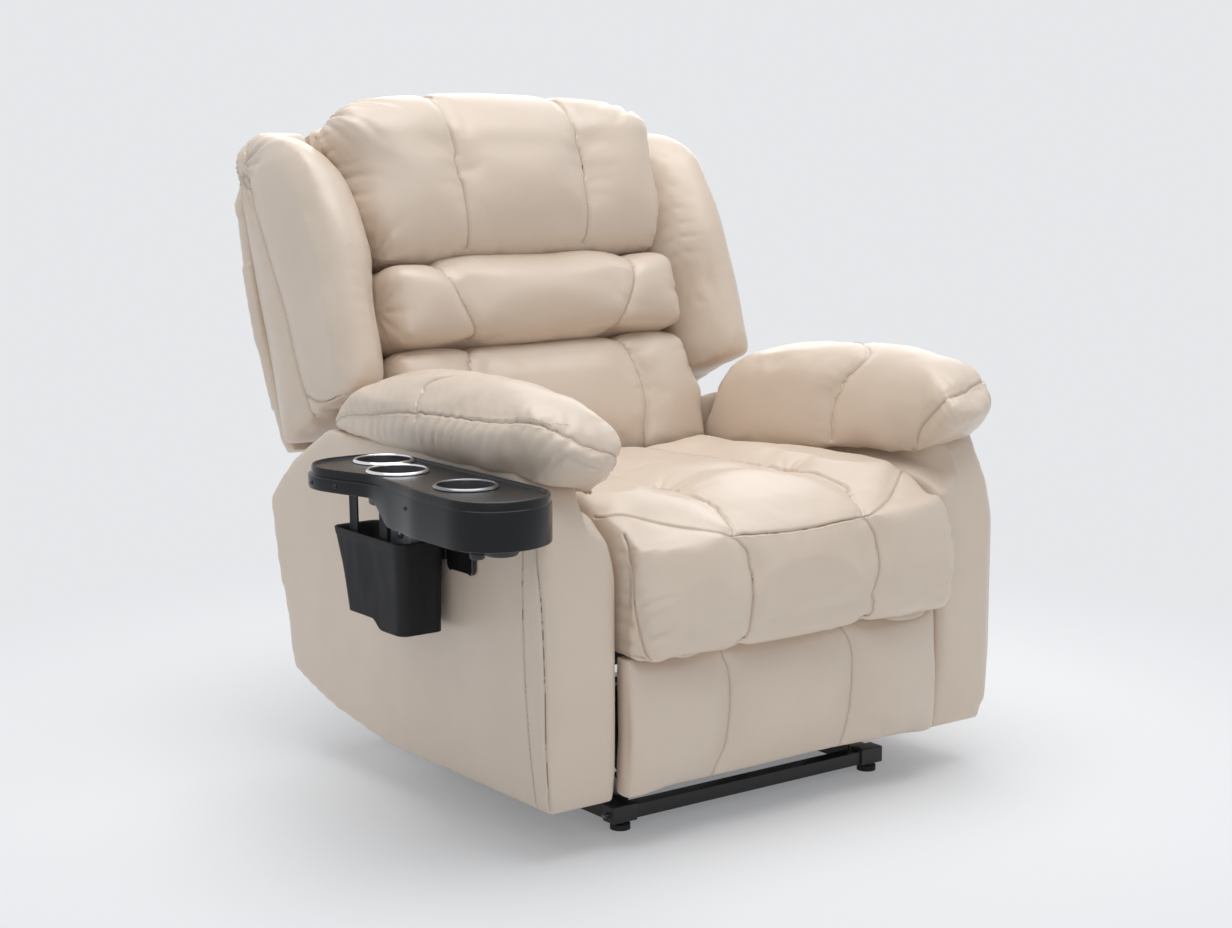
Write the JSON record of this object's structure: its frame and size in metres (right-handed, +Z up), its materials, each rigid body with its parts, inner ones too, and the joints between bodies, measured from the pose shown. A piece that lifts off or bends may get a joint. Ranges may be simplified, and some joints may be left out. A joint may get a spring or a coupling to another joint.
{
  "type": "lift recliner chair",
  "caption": "Padded power lift recliner with wing back, pillow arms, fold-out footrest, floor frame with lift linkage, and a side tray with cup wells and pocket.",
  "frame": {"origin": "on the floor in the middle plane of the chair, between the floor feet", "axes": "+Z up, the chair faces -Y, +X towards the sitter's left hand; the tray is on the -X side"},
  "size_m": [1.0804, 1.1054, 1.0608],
  "materials": {
    "upholstery": "cream leatherette over foam, satin",
    "black_steel": "satin black",
    "link_steel": "dark grey, zinc look",
    "rod_steel": "ground",
    "black_plastic": "fine grain, satin",
    "gloss_black": "gloss",
    "chrome": "polished",
    "rubber": "matte",
    "pocket_fabric": "coated black cloth",
    "grey_plastic": "satin grey",
    "key_plastic": "satin",
    "board_wood": "plain board"
  },
  "bodies": {
    "base": {"base_side_rails": "black_steel", "base_front_bar": "black_steel", "base_rear_bar": "black_steel", "base_end_caps": "black_plastic", "levelling_feet": "rubber", "base_bolts": "link_steel", "base_brackets": "black_steel", "motor_clevis": "black_steel"},
    "front_links": {"front_lift_links": "link_steel", "lift_torque_tube": "black_steel"},
    "rear_links": {"rear_lift_links": "link_steel"},
    "lift_motor": {"lift_motor": "black_plastic"},
    "lift_rod": {"lift_rod": "rod_steel"},
    "chassis": {"chassis_side_plates": "black_steel", "chassis_front_rail": "black_steel", "chassis_rear_rail": "black_steel", "chassis_link_ears": "black_steel", "seat_glide_bars": "black_steel", "arm_body_left": "upholstery", "arm_body_right": "upholstery", "arm_pad_left": "upholstery", "arm_pad_right": "upholstery", "tray_body": "black_plastic", "cup_wells": "black_plastic", "tray_rings": "chrome", "tray_knob": "black_plastic", "tray_bracket": "black_steel", "pocket": "pocket_fabric", "hanger_straps": "black_steel", "control_panel": "gloss_black", "handset": "grey_plastic"},
    "key_raise": {"key_raise": "key_plastic"},
    "key_lower": {"key_lower": "key_plastic"},
    "seat": {"seat_side_plates": "black_steel", "seat_front_rail": "black_steel", "seat_rear_rail": "black_steel", "seat_glide_blocks": "black_plastic", "back_motor_hanger": "black_steel", "seat_springs": "link_steel", "seat_cushion": "upholstery"},
    "back": {"back_board": "board_wood", "back_panel": "upholstery", "back_brackets": "black_steel", "back_cross_tube": "black_steel", "lower_back_cushion": "upholstery", "lumbar_roll": "upholstery", "headrest_pillow": "upholstery", "wing_left": "upholstery", "wing_right": "upholstery"},
    "back_motor": {"back_motor": "black_plastic"},
    "back_rod": {"back_rod": "rod_steel"},
    "footrest_main": {"footrest_main_links": "link_steel"},
    "footrest_guide": {"footrest_guide_links": "link_steel"},
    "footrest_long": {"footrest_long_links": "link_steel", "footrest_spreader_tube": "black_steel"},
    "footrest_upper": {"footrest_upper_links": "link_steel"},
    "footrest": {"footrest_brackets": "black_steel", "footrest_board": "board_wood", "footrest_pad": "upholstery"}
  },
  "joints": [
    {"name": "lift", "type": "hinge", "parent": "base", "child": "front_links", "pos_m": [0, -0.285, 0.052], "axis": [1, 0, 0], "range_deg": [0, 52]},
    {"name": "chassis_tilt", "type": "hinge", "parent": "front_links", "child": "chassis", "pos_m": [0, -0.03, 0.115], "axis": [-1, 0, 0], "range_deg": [0, 28]},
    {"name": "rear_link_swing", "type": "hinge", "parent": "base", "child": "rear_links", "pos_m": [0, -0.2207, 0.0609], "axis": [1, 0, 0], "range_deg": [0, 44.7]},
    {"name": "lift_motor_swing", "type": "hinge", "parent": "base", "child": "lift_motor", "pos_m": [0, 0.25, 0.08], "axis": [1, 0, 0], "range_deg": [0, 0.7322]},
    {"name": "lift_rod_slide", "type": "slide", "parent": "lift_motor", "child": "lift_rod", "axis": [0, -0.9988, 0.048], "range_m": [0, 0.04817]},
    {"name": "back_recline", "type": "hinge", "parent": "seat", "child": "back", "pos_m": [0, 0.28, 0.36], "axis": [-1, 0, 0], "range_deg": [0, 40]},
    {"name": "seat_glide", "type": "slide", "parent": "chassis", "child": "seat", "axis": [0, -1, 0], "range_m": [0, 0.03]},
    {"name": "back_motor_swing", "type": "hinge", "parent": "seat", "child": "back_motor", "pos_m": [0, -0.11, 0.262], "axis": [1, 0, 0], "range_deg": [0, 0.6127]},
    {"name": "back_rod_slide", "type": "slide", "parent": "back_motor", "child": "back_rod", "axis": [0, -0.9977, -0.0681], "range_m": [0, 0.04985]},
    {"name": "footrest_open", "type": "hinge", "parent": "seat", "child": "footrest_main", "pos_m": [0, -0.1773, 0.2961], "axis": [-1, 0, 0], "range_deg": [0, 83.59]},
    {"name": "long_link_turn", "type": "hinge", "parent": "footrest_main", "child": "footrest_long", "pos_m": [0, -0.0519, 0.0951], "axis": [1, 0, 0], "range_deg": [0, 50.87]},
    {"name": "footrest_turn", "type": "hinge", "parent": "footrest_long", "child": "footrest", "pos_m": [0, -0.3508, 0.1221], "axis": [-1, 0, 0], "range_deg": [0, 55.28]},
    {"name": "guide_link_turn", "type": "hinge", "parent": "seat", "child": "footrest_guide", "pos_m": [0, -0.1708, 0.335], "axis": [-1, 0, 0], "range_deg": [0, 91.21]},
    {"name": "upper_link_turn", "type": "hinge", "parent": "footrest_main", "child": "footrest_upper", "pos_m": [0, -0.0158, 0.1965], "axis": [1, 0, 0], "range_deg": [0, 47.07]},
    {"name": "key_raise_press", "type": "slide", "parent": "chassis", "child": "key_raise", "axis": [1, 0, 0], "range_m": [0, 0.0012], "stiffness_N_per_m": 900, "springref_m": -0.0006},
    {"name": "key_lower_press", "type": "slide", "parent": "chassis", "child": "key_lower", "axis": [1, 0, 0], "range_m": [0, 0.0012], "stiffness_N_per_m": 900, "springref_m": -0.0006}
  ],
  "couplings": [
    {"joint": "chassis_tilt", "follows": "lift", "ratio": 0.53846},
    {"joint": "rear_link_swing", "follows": "lift", "ratio": 0.8597},
    {"joint": "lift_motor_swing", "follows": "lift", "ratio": 0.014081},
    {"joint": "lift_rod_slide", "follows": "lift", "m_per_rad": 0.053073},
    {"joint": "seat_glide", "follows": "back_recline", "m_per_rad": 0.042972},
    {"joint": "back_motor_swing", "follows": "back_recline", "ratio": 0.015317},
    {"joint": "back_rod_slide", "follows": "back_recline", "m_per_rad": 0.071409},
    {"joint": "long_link_turn", "follows": "footrest_open", "ratio": 0.60857},
    {"joint": "footrest_turn", "follows": "footrest_open", "ratio": 0.66132},
    {"joint": "guide_link_turn", "follows": "footrest_open", "ratio": 1.0912},
    {"joint": "upper_link_turn", "follows": "footrest_open", "ratio": 0.56311}
  ]
}
